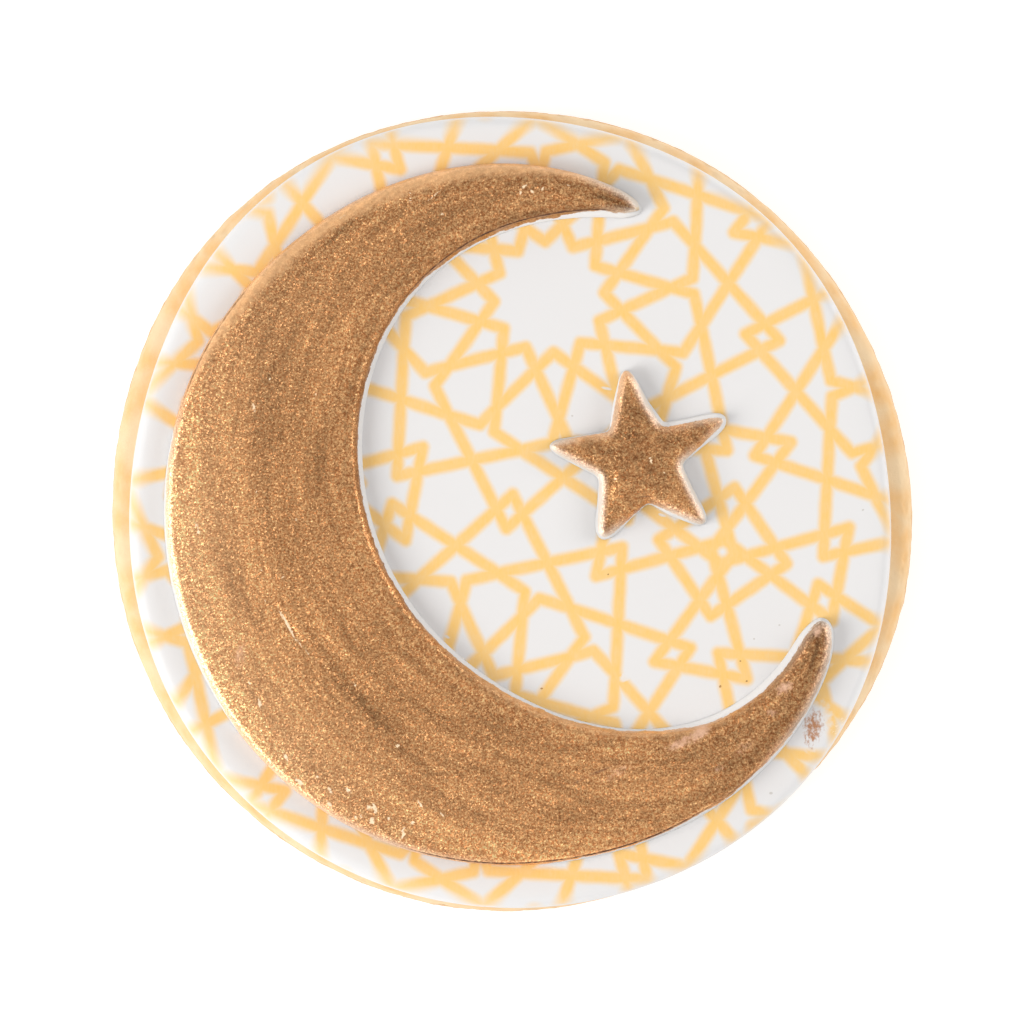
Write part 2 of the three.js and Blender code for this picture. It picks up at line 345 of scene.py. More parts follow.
def step_between(values, low, high):
    """0 up to low, 1 from high on, and a soft step between."""
    share = np.clip((values - low) / (high - low), 0, 1)
    return share * share * (3 - 2 * share)


def relief(points, layers):
    """The layers of smooth noise, added up."""
    return sum(height * bumps(points, size, seed) for height, size, seed in layers)


def pits(points, depth, size, seed, start):
    return depth * step_between(bumps(points, size, seed), start, PIT_FLOOR)


def strokes(points, marks):
    """The height of small ridges: each mark is (x, y, length, width, turn, height)."""
    total = np.zeros(len(points))
    for x, y, length, width, turn, height in marks:
        along, across = unit(math.radians(turn)), unit(math.radians(turn + 90))
        place = points[:, :2] - np.array([x, y])
        reach = ((place @ along) / (length / 2)) ** 2 + ((place @ across) / (width / 2)) ** 2
        total += height * np.exp(-reach)
    return total


def fading(rise, reach):
    """1 at the edge, fading quickly at first and then slowly to 0 at the reach."""
    return (1 - np.clip(rise / reach, 0, 1)) ** 2.5


def puffed_height(rise, thickness, bevel, wall):
    """How high a cut-out stands at a distance in from the top of its wall, outside it negative."""
    left = 1 - np.clip(rise / bevel, 0, 1)
    rounded = (1 - left ** BEVEL_SQUARENESS) ** (1 / BEVEL_SQUARENESS)
    dome = DOME_DROP * (1 - np.clip(rise / DOME_REACH, 0, 1)) ** 2
    top = WALL_HEIGHT + (thickness - WALL_HEIGHT) * rounded - dome
    up_the_wall = np.clip(1 + rise / np.maximum(wall, WALL_LEAST), 0, 1) ** WALL_CURVE
    return np.where(rise >= 0, top, (WALL_HEIGHT - DOME_DROP) * up_the_wall)


# ---- meshes

def stacked_faces(ring_count, steps):
    """Faces between stacked closed rings of vertices. Two more vertices close the ends."""
    rings = np.arange(ring_count * steps).reshape(ring_count, steps)
    first, last = (np.full(steps, ring_count * steps + end) for end in (0, 1))
    rows = [first, *rings, last]
    faces = []
    for row, following in zip(rows, rows[1:]):
        quads = np.stack([row, np.roll(row, -1), np.roll(following, -1), following], axis=1)
        # At the ends two corners are one, which makes the quad a triangle.
        faces += [list(dict.fromkeys(quad)) for quad in quads.tolist()]
    return faces


def put_in_scene(name, data):
    placed = bpy.data.objects.new(name, data)
    bpy.context.scene.collection.objects.link(placed)
    return placed


def make_piece(name, points, faces, material, values):
    """A mesh object that stands for the solid of the same name. values are kept on its vertices."""
    mesh = bpy.data.meshes.new(name)
    mesh.from_pydata((points * MM).tolist(), [], faces)
    mesh.polygons.foreach_set("use_smooth", [True] * len(mesh.polygons))
    for key, value in values.items():
        kind, field = ("FLOAT", "value") if value.ndim == 1 else ("FLOAT_VECTOR", "vector")
        attribute = mesh.attributes.new(key, kind, "POINT")
        attribute.data.foreach_set(field, value.astype(np.float32).ravel())
    mesh.materials.append(material)
    mesh.update()
    piece = put_in_scene(name + "_dressed", mesh)
    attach(piece, "root")
    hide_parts(name)


def disc_points(rim, rings, steps):
    """Points of closed rings: each ring is (share of the way out, distance in, height)."""
    angles = 2 * math.pi * np.arange(steps) / steps
    radii = rim_radius(rim, angles)
    directions = unit(angles)
    points = []
    for share, inset, height in rings:
        flat = directions * (share * (radii - inset))[:, None]
        points.append(np.column_stack([flat, np.full(steps, height)]))
    return np.vstack(points)


def disc_rings(profile, under, over, foot):
    """Rings out along the underside, up the profile and in over the top."""
    profile = smooth_line(profile, PROFILE_STEPS)
    low_inset, low = profile[0]
    top_inset, top = profile[-1]
    rings = [(share, low_inset, foot + low) for share in np.linspace(*under)]
    rings += [(1.0, inset, foot + height) for inset, height in profile]
    rings += [(share, top_inset, foot + top) for share in np.linspace(*over)]
    return rings


# ---- material nodes

def linear(red, green, blue):
    """A colour given as a picture shows it, from 0 to 255, as light."""
    shares = [channel / 255 for channel in (red, green, blue)]
    light = [s / 12.92 if s <= 0.04045 else ((s + 0.055) / 1.055) ** 2.4 for s in shares]
    return (*light, 1.0)


class Shader:
    """The node tree of a material or of the world, with short ways to add to it."""

    def __init__(self, owner, surface="Principled BSDF"):
        owner.use_nodes = True
        self.owner = owner
        self.tree = owner.node_tree
        self.surface = self.tree.nodes[surface]

    def put(self, socket, value):
        """Links a socket to a socket, or sets it to a value."""
        if isinstance(value, bpy.types.NodeSocket):
            self.tree.links.new(value, socket)
        else:
            socket.default_value = value

    def add(self, kind, inputs, **settings):
        node = self.tree.nodes.new("ShaderNode" + kind)
        for key, value in settings.items():
            setattr(node, key, value)
        for key, value in inputs.items():
            self.put(node.inputs[key], value)
        return node

    def math(self, operation, a, b=0.0, clamp=False):
        inputs = {0: a, 1: b}
        return self.add("Math", inputs, operation=operation, use_clamp=clamp).outputs[0]

    def joined(self, operation, values):
        """Several values joined by one operation, from first to last."""
        return reduce(lambda a, b: self.math(operation, a, b), values)

    def times(self, *values):
        return self.joined("MULTIPLY", values)

    def plus(self, *values):
        return self.joined("ADD", values)

    def minus(self, a, b):
        return self.math("SUBTRACT", a, b)

    def either(self, *shares):
        """The larger of several shares."""
        return self.joined("MAXIMUM", shares)

    def vector(self, operation, a, b):
        inputs = {0: a, 1: b}
        node = self.add("VectorMath", inputs, operation=operation)
        return node.outputs["Value" if operation in ("DOT_PRODUCT", "DISTANCE") else "Vector"]

    def scaled(self, vector, factor):
        inputs = {"Vector": vector, "Scale": factor}
        return self.add("VectorMath", inputs, operation="SCALE").outputs["Vector"]

    def noise(self, place, size, detail=2.0, rough=0.5):
        """Noise from 0 to 1 whose bumps are of the given size."""
        inputs = {"Vector": place, "Scale": 1 / size, "Detail": detail, "Roughness": rough}
        return self.add("TexNoise", inputs).outputs["Fac"]

    def step(self, value, low, high, start=0.0, end=1.0, kind="SMOOTHSTEP"):
        """A soft step from start, where value is low, to end, where it is high."""
        inputs = {"Value": value, "From Min": low, "From Max": high, "To Min": start, "To Max": end}
        node = self.add("MapRange", inputs, interpolation_type=kind, clamp=True)
        return node.outputs["Result"]

    def ramp(self, value, low, high, start=0.0, end=1.0):
        """A straight slope from start, where value is low, to end, where it is high."""
        return self.step(value, low, high, start, end, "LINEAR")

    def between(self, share, start, end):
        """From start, where the share is 0, to end, where it is 1."""
        return self.ramp(share, 0.0, 1.0, start, end)

    def spread(self, noise, least, most):
        """A noise, whose values are mostly from 0.3 to 0.7, spread between two others."""
        return self.ramp(noise, 0.3, 0.7, least, most)

    def ragged(self, place, size, rough=0.5):
        """An uneven offset from -0.5 to 0.5, which frays what it is added to."""
        return self.ramp(self.noise(place, size, 3.0, rough), 0.2, 0.8, -0.5, 0.5)

    def mix(self, share, a, b, blend="MIX"):
        node = self.add("Mix", {}, data_type="RGBA", blend_type=blend)
        self.put(node.inputs["Factor"], share)
        colour_a, colour_b, result = node.inputs[6], node.inputs[7], node.outputs[2]
        self.put(colour_a, a)
        self.put(colour_b, b)
        return result

    def attribute(self, name, output="Fac"):
        return self.add("Attribute", {}, attribute_name=name).outputs[output]

    def ellipse(self, place, x, y, length, width, turn):
        """0 at the middle of an ellipse, 1 on it and more outside."""
        offset = self.vector("SUBTRACT", place, (x, y, 0.0))
        squares = []
        for size, degrees in ((length, turn), (width, turn + 90)):
            across = 2 / size * unit(math.radians(degrees))
            share = self.vector("DOT_PRODUCT", offset, (*across, 0.0))
            squares.append(self.times(share, share))
        return self.plus(*squares)

    def nearest_ellipse(self, place, ellipses):
        return self.joined("MINIMUM", [self.ellipse(place, *ellipse) for ellipse in ellipses])

    def place(self):
        """Where a point of the piece is, in millimetres."""
        where = self.add("TexCoord", {}).outputs["Object"]
        return self.scaled(where, 1 / MM)

    def bump(self, height, distance):
        inputs = {"Height": height, "Distance": distance * MM, "Strength": 1.0}
        return self.add("Bump", inputs).outputs["Normal"]

    def set(self, **values):
        """Sets or links the surface's own sockets."""
        for key, value in values.items():
            self.put(self.surface.inputs[key.replace("_", " ")], value)


# ---- the printed lattice

# The print repeats on a square lattice: its origin is the middle of a twelve-pointed star, and
# these are the steps to the next stars, across and up.
PRINT_ORIGIN = (3.534, 20.331)
PRINT_ACROSS = (40.316, -7.611)
PRINT_UP = (7.526, 40.584)
# In lattice steps: half the width of a printed line, how softly it ends, how softly near the
# icing's rim, how much wider or narrower it runs here and there, and how wide it is sprayed over
# the biscuit.
LINE_HALF = 0.0146
LINE_SOFT = 0.0085
RIM_SOFT = 0.02
INK_BLEED = 0.0014
OVERSPRAY = 0.05
# The print blurs in a band of this width along the rim, wider by so much toward this direction.
BLUR_WIDTH = 1.9
BLUR_EXTRA = 0.7
BLUR_TOWARD = 150

# Radii in lattice steps. The star has points, notches, and strapwork that crosses outside it.
STAR_POINT = 0.1691
STAR_NOTCH = 0.1272
STRAP_CROSSING = 0.2807
STRAP_BEND = 0.3336
STRAP_PEAK = 0.3564
STRAP_END = 0.5399
STRAP_TURN = 3.13
# The knot about the middle of four stars, from that middle.
KNOT_STRAP = [(-0.2761, 0.0), (-0.2761, -0.1086), (-0.1187, -0.0320), (-0.0542, 0.0), (0.0, 0.0266)]
KNOT_SQUARE = [(-0.1502, 0.0), (0.0, -0.1502)]


def polyline(points):
    return [(np.array(a, float), np.array(b, float)) for a, b in zip(points, points[1:])]


def star_lines():
    """The lines round one star, at the lattice's origin."""
    def at(radius, degrees):
        return radius * unit(math.radians(degrees))

    lines = []
    for point in range(12):
        turn = 30 * point
        for side in (1, -1):
            lines += polyline([
                at(STAR_NOTCH, turn + 15 * side),
                at(STAR_POINT, turn),
                at(STRAP_CROSSING, turn - 15 * side),
                at(STRAP_BEND, turn - (15 + STRAP_TURN) * side),
            ])
            lines += polyline([
                at(STRAP_BEND, turn + (15 - STRAP_TURN) * side),
                at(STRAP_PEAK, turn),
                at(STRAP_END, turn - 30 * side),
            ])
    return lines


def knot_lines():
    """The lines of the knot about (0.5, 0.5), turned and mirrored eight ways."""
    lines = []
    for line in (KNOT_STRAP, KNOT_SQUARE):
        for flip_x in (1, -1):
            for flip_y in (1, -1):
                turned = [(0.5 + x * flip_x, 0.5 + y * flip_y) for x, y in line]
                lines += polyline(turned)
                lines += polyline([(y, x) for x, y in turned])
    return lines


def clipped(a, b):
    """The part of a line inside the triangle 0 <= y <= x <= 0.5, or None."""
    start, end = 0.0, 1.0
    for normal, limit in (((0, 1), 0), ((1, -1), 0), ((-1, 0), -0.5)):
        at_a = np.dot(normal, a) - limit
        at_b = np.dot(normal, b) - limit
        if at_a < 0 and at_b < 0:
            return None
        if at_a < 0:
            start = max(start, at_a / (at_a - at_b))
        elif at_b < 0:
            end = min(end, at_a / (at_a - at_b))
    if end - start < 0.01:
        return None
    return a + start * (b - a), a + end * (b - a)


def triangle_lines():
    """The lines inside the triangle that mirrors and turns out into the whole lattice."""
    lines = knot_lines()
    for shift in ((0, 0), (1, 0), (0, 1), (1, 1)):
        lines += [(a + shift, b + shift) for a, b in star_lines()]
    kept = {}
    for a, b in lines:
        inside = clipped(a, b)
        if inside is not None:
            ends = sorted(tuple(np.round(end, 3) + 0.0) for end in inside)
            kept.setdefault(tuple(ends), inside)
    return list(kept.values())


def lattice_distance(shader, place):
    """How far a place on the print is from the nearest line, in lattice steps."""
    steps = np.linalg.inv(np.array([PRINT_ACROSS, PRINT_UP]).T)
    from_origin = shader.vector("SUBTRACT", place, (*PRINT_ORIGIN, 0.0))
    folded = []
    for row in steps:
        share = shader.vector("DOT_PRODUCT", from_origin, (*row, 0.0))
        folded.append(shader.math("PINGPONG", share, 0.5))
    spot = shader.add("CombineXYZ", {
        "X": shader.math("MAXIMUM", *folded),
        "Y": shader.math("MINIMUM", *folded),
    }).outputs["Vector"]
    distances = []
    for a, b in triangle_lines():
        along = (*(b - a), 0.0)
        offset = shader.vector("SUBTRACT", spot, (*a, 0.0))
        share = shader.vector("DOT_PRODUCT", offset, tuple(np.array(along) / np.dot(along, along)))
        foot = shader.scaled(along, shader.math("MULTIPLY", share, 1.0, clamp=True))
        distances.append(shader.vector("DISTANCE", offset, foot))
    return shader.joined("MINIMUM", distances)


# ---- finishes, and light and shade painted into them

WHITE_PASTE = (0.780, 0.772, 0.774, 1.0)
# The bare paste of the cut-outs' walls: white paste painted lighter than the icing's, standing in for
# light falling on the walls.
BARE_PASTE_PAINTED_LIGHTER = (0.90, 0.885, 0.875, 1.0)
PRINT_YELLOW = (0.93, 0.58, 0.17, 1.0)
BISCUIT_PALE = (0.88, 0.655, 0.40, 1.0)
BISCUIT_TINTED = (0.88, 0.48, 0.15, 1.0)
BISCUIT_BAKED = linear(226, 176, 110)
BISCUIT_BROWN = linear(196, 134, 74)
GOLD_DARK = linear(176, 110, 63)
GOLD_LIGHT = linear(255, 203, 143)
# The paler gold painted where the light falls most on the crescent's outer edge.
GOLD_PAINTED_PALE = linear(255, 212, 168)
# Gold flecks on the icing, and the colour of highlights painted on the gold as glints.
GOLD_FLECK_AND_GLINT = linear(255, 228, 190)
# Smooth gold at the bevels is painted this lighter colour, a painted sheen.
GOLD_SMOOTH_SHEEN = linear(246, 193, 138)
# The colour of the highlight painted along the cut-outs' edges.
GOLD_PAINTED_HIGHLIGHT = linear(255, 240, 224)
# The dark line along the gold's edge: the paint's darker rim and painted shade of the gap under it.
GOLD_DARK_RIM_AND_SHADE = linear(92, 54, 32)
GOLD_WORN = linear(236, 190, 160)
GOLD_SMUDGE = linear(184, 132, 96)
SPECK_BROWN = linear(176, 132, 80)
SPECK_GREY = linear(206, 202, 198)

ICING_ROUGHNESS = 0.5
ICING_SPECULAR = 0.35
BISCUIT_ROUGHNESS = 0.8
GOLD_ROUGHNESS = 0.38
BARE_ROUGHNESS = 0.6
GOLD_METALLIC = 0.85
# How much of the ink is left at the icing's rim and where paste is smeared over it.
RIM_INK = 0.85
SMEARED_INK = 0.15

# The gold's grain and flakes, and how far a flake tips where it glitters and where it is smooth.
GRAIN = 0.2
FLAKE = 0.115
FLAKE_TIP = (0.41, 0.08)
# How much shorter the brush's thin streaks and broad sweeps are drawn along its way.
STREAK_SQUEEZE = 0.07
SWEEP_SQUEEZE = 0.14
# The most that smooth gold, with its painted lighter sheen, hides the glitter, and that worn gold
# hides all.
SMOOTH_MOST = 0.72
WORN_MOST = 0.8
# Between which values of its measure each of these starts or ends: smooth gold with its painted
# sheen, worn gold, painted glints, the dark rim with its painted shade, and bare paste.
SMOOTH_EDGE = (-0.35, 0.9)
WORN_EDGE = (0.25, 1.1)
GLINT_EDGE = (0.4, 0.8)
SEAM_EDGE = (0.14, 0.4)
BARE_EDGE = (-0.03, 0.04)

# Ellipses on the icing: (x, y, length, width, turn).
PASTE_SMEARS = [
    (8.9, 11.7, 1.1, 0.3, -12), (-14.2, 6.2, 0.7, 0.3, 20), (-6.15, -11.8, 0.6, 0.3, -30),
    (0.5, -18.3, 0.6, 0.3, 10), (14.2, -0.3, 0.8, 0.3, -20), (10.7, -15.6, 1.3, 0.9, 40),
    (28.6, -20.2, 4.9, 3.2, 68),
]
SMUDGE = (28.5, -20.4, 3.0, 1.7, 82)
SMUDGE_SPARKS = (30.8, -20.2, 1.9, 1.2, 70)
BROWN_SPECKS = [
    (21.6, -14.1, 0.17, 0.14, 0), (9.1, -5.9, 0.17, 0.14, 40), (22.2, -16.0, 0.2, 0.16, 20),
    (19.7, -16.5, 0.26, 0.2, 60), (2.8, -16.7, 0.24, 0.16, 0),
]
GREY_SPECKS = [
    (5.7, 9.1, 0.2, 0.17, 0), (33.2, 0.2, 0.24, 0.16, 30), (25.3, -10.7, 0.2, 0.16, 0),
    (22.9, -12.0, 0.2, 0.16, 0), (24.5, -26.6, 0.34, 0.24, 0),
]


def ink_cover(shader, place):
    """How much of the paste's white the printed ink covers."""
    rim = shader.attribute("rim")
    patchy = shader.noise(place, 1.6, 3.0)
    bleed = shader.ramp(patchy, 0.25, 0.75, -INK_BLEED, INK_BLEED)
    distance = shader.plus(lattice_distance(shader, place), bleed)
    soft = shader.between(rim, LINE_SOFT, RIM_SOFT)
    inside, outside = shader.minus(LINE_HALF, soft), shader.plus(LINE_HALF, soft)
    line = shader.step(distance, inside, outside, 1.0, 0.0)
    streaks = shader.noise(shader.vector("MULTIPLY", place, (1.0, 0.3, 1.0)), 0.22, 2.0)
    uneven = shader.times(shader.spread(streaks, 0.93, 1.0), shader.spread(patchy, 0.9, 1.0))
    worn = shader.between(rim, 1.0, RIM_INK)
    smear = shader.plus(shader.nearest_ellipse(place, PASTE_SMEARS), shader.ragged(place, 0.5))
    clear = shader.step(smear, 0.2, 1.3, SMEARED_INK, 1.0)
    return shader.times(line, uneven, worn, shader.attribute("crown"), clear)


def icing_material():
    shader = Shader(bpy.data.materials.new("printed sugar paste"))
    place = shader.place()
    colour = shader.mix(ink_cover(shader, place), WHITE_PASTE, PRINT_YELLOW)
    bristles = shader.noise(shader.vector("MULTIPLY", place, (1.0, 0.6, 1.0)), 0.35, 5.0, 0.75)
    reach = shader.times(shader.ellipse(place, *SMUDGE), 0.13)
    smudge = shader.step(shader.minus(bristles, reach), 0.3, 0.55)
    colour = shader.mix(smudge, colour, GOLD_SMUDGE)
    dots = shader.step(shader.noise(place, 0.18, 1.0), 0.6, 0.68)
    sparks = shader.step(shader.ellipse(place, *SMUDGE_SPARKS), 0.5, 1.2, 1.0, 0.0)
    colour = shader.mix(shader.times(dots, sparks), colour, GOLD_FLECK_AND_GLINT)
    for specks, speck_colour in ((BROWN_SPECKS, SPECK_BROWN), (GREY_SPECKS, SPECK_GREY)):
        near = shader.step(shader.nearest_ellipse(place, specks), 0.4, 1.6, 1.0, 0.0)
        colour = shader.mix(near, colour, speck_colour)
    shader.set(
        Base_Color=colour,
        Roughness=ICING_ROUGHNESS,
        Specular_IOR_Level=ICING_SPECULAR,
        Normal=shader.bump(shader.noise(place, 0.5, 3.0), 0.006),
    )
    return shader.owner


def biscuit_material():
    shader = Shader(bpy.data.materials.new("baked butter dough"))
    place = shader.place()
    sprayed = shader.step(lattice_distance(shader, place), 0.0, OVERSPRAY, 1.0, 0.0)
    patches = shader.spread(shader.noise(place, 2.0, 4.0, 0.6), 0.35, 0.8)
    tint = shader.times(sprayed, shader.attribute("crown"), patches)
    top = shader.mix(tint, BISCUIT_PALE, BISCUIT_TINTED)
    brown = shader.mix(shader.noise(place, 3.0, 5.0, 0.6), BISCUIT_BAKED, BISCUIT_BROWN)
    shader.set(
        Base_Color=shader.mix(shader.attribute("baked"), top, brown),
        Roughness=BISCUIT_ROUGHNESS,
        Normal=shader.bump(shader.noise(place, 0.35, 5.0, 0.65), 0.06),
    )
    return shader.owner


def gold_grain(shader, place, flakes):
    """How light the glitter is, from 0 to 1, from one flake to the next."""
    grain = shader.ramp(shader.noise(place, GRAIN, 2.0, 0.75), 0.36, 0.7)
    chance = shader.add("SeparateXYZ", {"Vector": flakes}).outputs["Z"]
    return shader.math("MULTIPLY", grain, shader.between(chance, 0.35, 1.45), clamp=True)


def brush_light(shader, place):
    """How light the brush left the gold, about 1: patches, thin streaks and broad sweeps."""
    flow = shader.attribute("flow", "Vector")
    streak = shader.vector("MULTIPLY", flow, (STREAK_SQUEEZE, 1.0, 1.0))
    sweep = shader.vector("MULTIPLY", flow, (SWEEP_SQUEEZE, 1.0, 1.0))
    layers = (
        (shader.noise(place, 0.6, 5.0, 0.7), 0.34),
        (shader.noise(streak, 0.5, 3.0, 0.6), 0.14),
        (shader.noise(sweep, 2.6, 3.0, 0.6), 0.24),
    )
    return shader.times(*(shader.spread(layer, 1 - light, 1 + light) for layer, light in layers))


def gold_material():
    shader = Shader(bpy.data.materials.new("brushed edible gold"))
    place = shader.place()
    ragged = shader.ragged(place, 0.3, 0.6)

    def frayed(name, fray):
        """An attribute made uneven, so that what it bounds ends in a frayed edge."""
        return shader.plus(shader.attribute(name), shader.times(ragged, fray))

    # A random colour for each flake.
    flakes = shader.add("TexVoronoi", {"Vector": place, "Scale": 1 / FLAKE}).outputs["Color"]
    grain = gold_grain(shader, place, flakes)
    brushed = brush_light(shader, place)
    colour = shader.mix(grain, GOLD_DARK, GOLD_LIGHT)
    # The colour is scaled by painted light and shade and by the brush's marks, then painted paler where
    # the light falls most.
    colour = shader.scaled(colour, shader.times(shader.attribute("tone_and_painted_light"), brushed))
    colour = shader.mix(shader.attribute("painted_paleness"), colour, GOLD_PAINTED_PALE)

    rise = frayed("rise", 0.12)
    beyond = shader.plus(shader.minus(rise, shader.attribute("smooth")), ragged)
    smooth = shader.step(beyond, *SMOOTH_EDGE, 1.0, 0.0)
    # Where the gold is smooth it is painted a lighter sheen colour, still marked by the brush.
    thinner = shader.ramp(brushed, 0.5, 1.5, 0.74, 1.26)
    sheen_colour = shader.mix(1.0, GOLD_SMOOTH_SHEEN, thinner, "MULTIPLY")
    colour = shader.mix(shader.times(smooth, SMOOTH_MOST), colour, sheen_colour)
    worn = shader.step(frayed("worn", 0.8), *WORN_EDGE, 0.0, WORN_MOST)
    colour = shader.mix(worn, colour, GOLD_WORN)
    # A highlight painted pale along the cut-outs' edges, stronger on lighter grains.
    painted_highlight = shader.between(grain, 0.75, 1.35)
    painted_highlight = shader.math("MULTIPLY", shader.attribute("painted_highlight"), painted_highlight, clamp=True)
    colour = shader.mix(painted_highlight, colour, GOLD_PAINTED_HIGHLIGHT)
    # Glints: highlights painted on flecks, scratches and a dent in the gold.
    glint = shader.step(frayed("glint", 0.9), *GLINT_EDGE)
    colour = shader.mix(glint, colour, GOLD_FLECK_AND_GLINT)
    # The dark line along the gold's edge: the paint's darker rim and painted shade of the gap under it.
    from_dark_rim = shader.math("ABSOLUTE", shader.minus(frayed("climb", 0.2), SEAM_CLIMB))
    broken = shader.ramp(shader.noise(place, 0.7, 3.0, 0.7), 0.4, 0.6, 0.5, 1.2)
    dark_rim_and_shade = shader.math("MULTIPLY", shader.attribute("dark_rim_and_shade"), broken, clamp=True)
    dark_rim_and_shade = shader.times(dark_rim_and_shade, shader.step(from_dark_rim, *SEAM_EDGE, 1.0, 0.0))
    # Dark scores and cracks, and a shade painted at a dent.
    dark_rim_and_shade = shader.either(dark_rim_and_shade, shader.attribute("scores_and_shade"))
    colour = shader.mix(dark_rim_and_shade, colour, GOLD_DARK_RIM_AND_SHADE)
    bare = shader.step(shader.plus(rise, shader.attribute("lip")), *BARE_EDGE, 1.0, 0.0)

    tip = shader.between(smooth, *FLAKE_TIP)
    tilt = shader.scaled(shader.vector("SUBTRACT", flakes, (0.5, 0.5, 0.5)), tip)
    normal = shader.add("NewGeometry", {}).outputs["Normal"]
    # The dark rim with its painted shade, the painted highlight and, half as much, the bare paste
    # are shaded as if they lay nearly flat.
    lying = shader.either(dark_rim_and_shade, painted_highlight, shader.times(bare, 0.5))
    flat = shader.scaled((0.0, 0.0, 2.0), lying)
    normal = shader.vector("ADD", shader.vector("ADD", normal, tilt), flat)
    dull = shader.either(bare, glint, worn, dark_rim_and_shade, painted_highlight, shader.times(smooth, 0.7))
    shader.set(
        Base_Color=shader.mix(bare, colour, BARE_PASTE_PAINTED_LIGHTER),
        Metallic=shader.between(dull, GOLD_METALLIC, 0.0),
        Roughness=shader.between(shader.either(bare, dark_rim_and_shade), GOLD_ROUGHNESS, BARE_ROUGHNESS),
        Normal=shader.vector("NORMALIZE", normal, (0.0, 0.0, 0.0)),
    )
    return shader.owner


# ---- the pieces

def make_biscuit():
    rings = disc_rings(BISCUIT_PROFILE, BISCUIT_UNDER, BISCUIT_OVER, BISCUIT_FOOT)
    points = disc_points(BISCUIT_RIM, rings, BISCUIT_STEPS)
    outward = np.column_stack([points[:, :2], np.zeros(len(points))])
    outward /= np.linalg.norm(outward, axis=1, keepdims=True)
    height = points[:, 2] - BISCUIT_FOOT
    side = step_between(height, 0.0, 0.6) * step_between(BISCUIT_TOP - height, 0.0, 0.5)
    crumb = relief(points, CRUMB) - pits(points, *PORES) - CRUMB_DROP
    points += outward * (side * crumb)[:, None]
    points[:, 2] += np.where(height <= 0, pits(points, *UNDERSIDE_PITS), 0)
    points = np.vstack([points, [[0, 0, BISCUIT_FOOT], [0, 0, BISCUIT_TOP]]])
    height = np.append(height, [0, BISCUIT_TOP - BISCUIT_FOOT])
    # The baked brown fades up the side, and the print's spray drifts only over the top.
    values = {
        "baked": 1 - step_between(height, 2.2, 5.0),
        "crown": step_between(height, 3.8, 6.0),
    }
    faces = stacked_faces(len(rings), BISCUIT_STEPS)
    make_piece("biscuit", points, faces, biscuit_material(), values)


def make_icing():
    rings = disc_rings(ICING_PROFILE, ICING_UNDER, ICING_OVER, ICING_FOOT)
    points = disc_points(ICING_RIM, rings, ICING_STEPS)
    angles = np.arctan2(points[:, 1], points[:, 0])
    inset = rim_radius(ICING_RIM, angles) - np.linalg.norm(points[:, :2], axis=1)
    flat = step_between(points[:, 2], ICING_TOP - 0.3, ICING_TOP)
    points[:, 2] += flat * (relief(points, ICING_WAVES) - ICING_DROP)
    points = np.vstack([points, [[0, 0, ICING_FOOT], [0, 0, ICING_TOP - ICING_DROP]]])
    blur = BLUR_WIDTH + BLUR_EXTRA * np.cos(angles - math.radians(BLUR_TOWARD))
    values = {
        "rim": np.append(1 - step_between(inset, 0.0, blur), [0, 0]),
        "crown": step_between(points[:, 2] - ICING_FOOT, 1.0, 2.3),
    }
    faces = stacked_faces(len(rings), ICING_STEPS)
    make_piece("icing", points, faces, icing_material(), values)


# Marks on the gold, as (x, y, length, width, turn, height).
CRESCENT_RELIEF = [
    (-23.65, -17.97, 1.3, 1.3, 0, 0.09), (-23.65, -17.97, 0.65, 0.65, 0, -0.19),
    (-21.2, -10.45, 4.0, 0.28, -56, -0.08), (-16.7, -15.9, 10.0, 0.32, -49, -0.04),
    (-9.65, 29.3, 2.2, 0.3, 88, 0.07), (-7.25, 30.0, 3.1, 0.28, 41, 0.07),
    (-7.8, 28.1, 0.9, 0.3, 10, 0.06), (1.3, 30.7, 0.8, 0.35, 35, 0.08),
    (1.95, 30.15, 0.6, 0.4, -30, 0.08), (2.5, 30.7, 0.5, 0.35, 70, 0.07),
    (8.45, -24.45, 2.9, 0.24, 22, -0.1), (-21.0, -10.7, 0.8, 0.3, 30, 0.06),
    (-12.0, -27.5, 3.0, 0.35, -20, -0.05), (-15.5, -26.3, 2.5, 0.35, -40, -0.05),
]
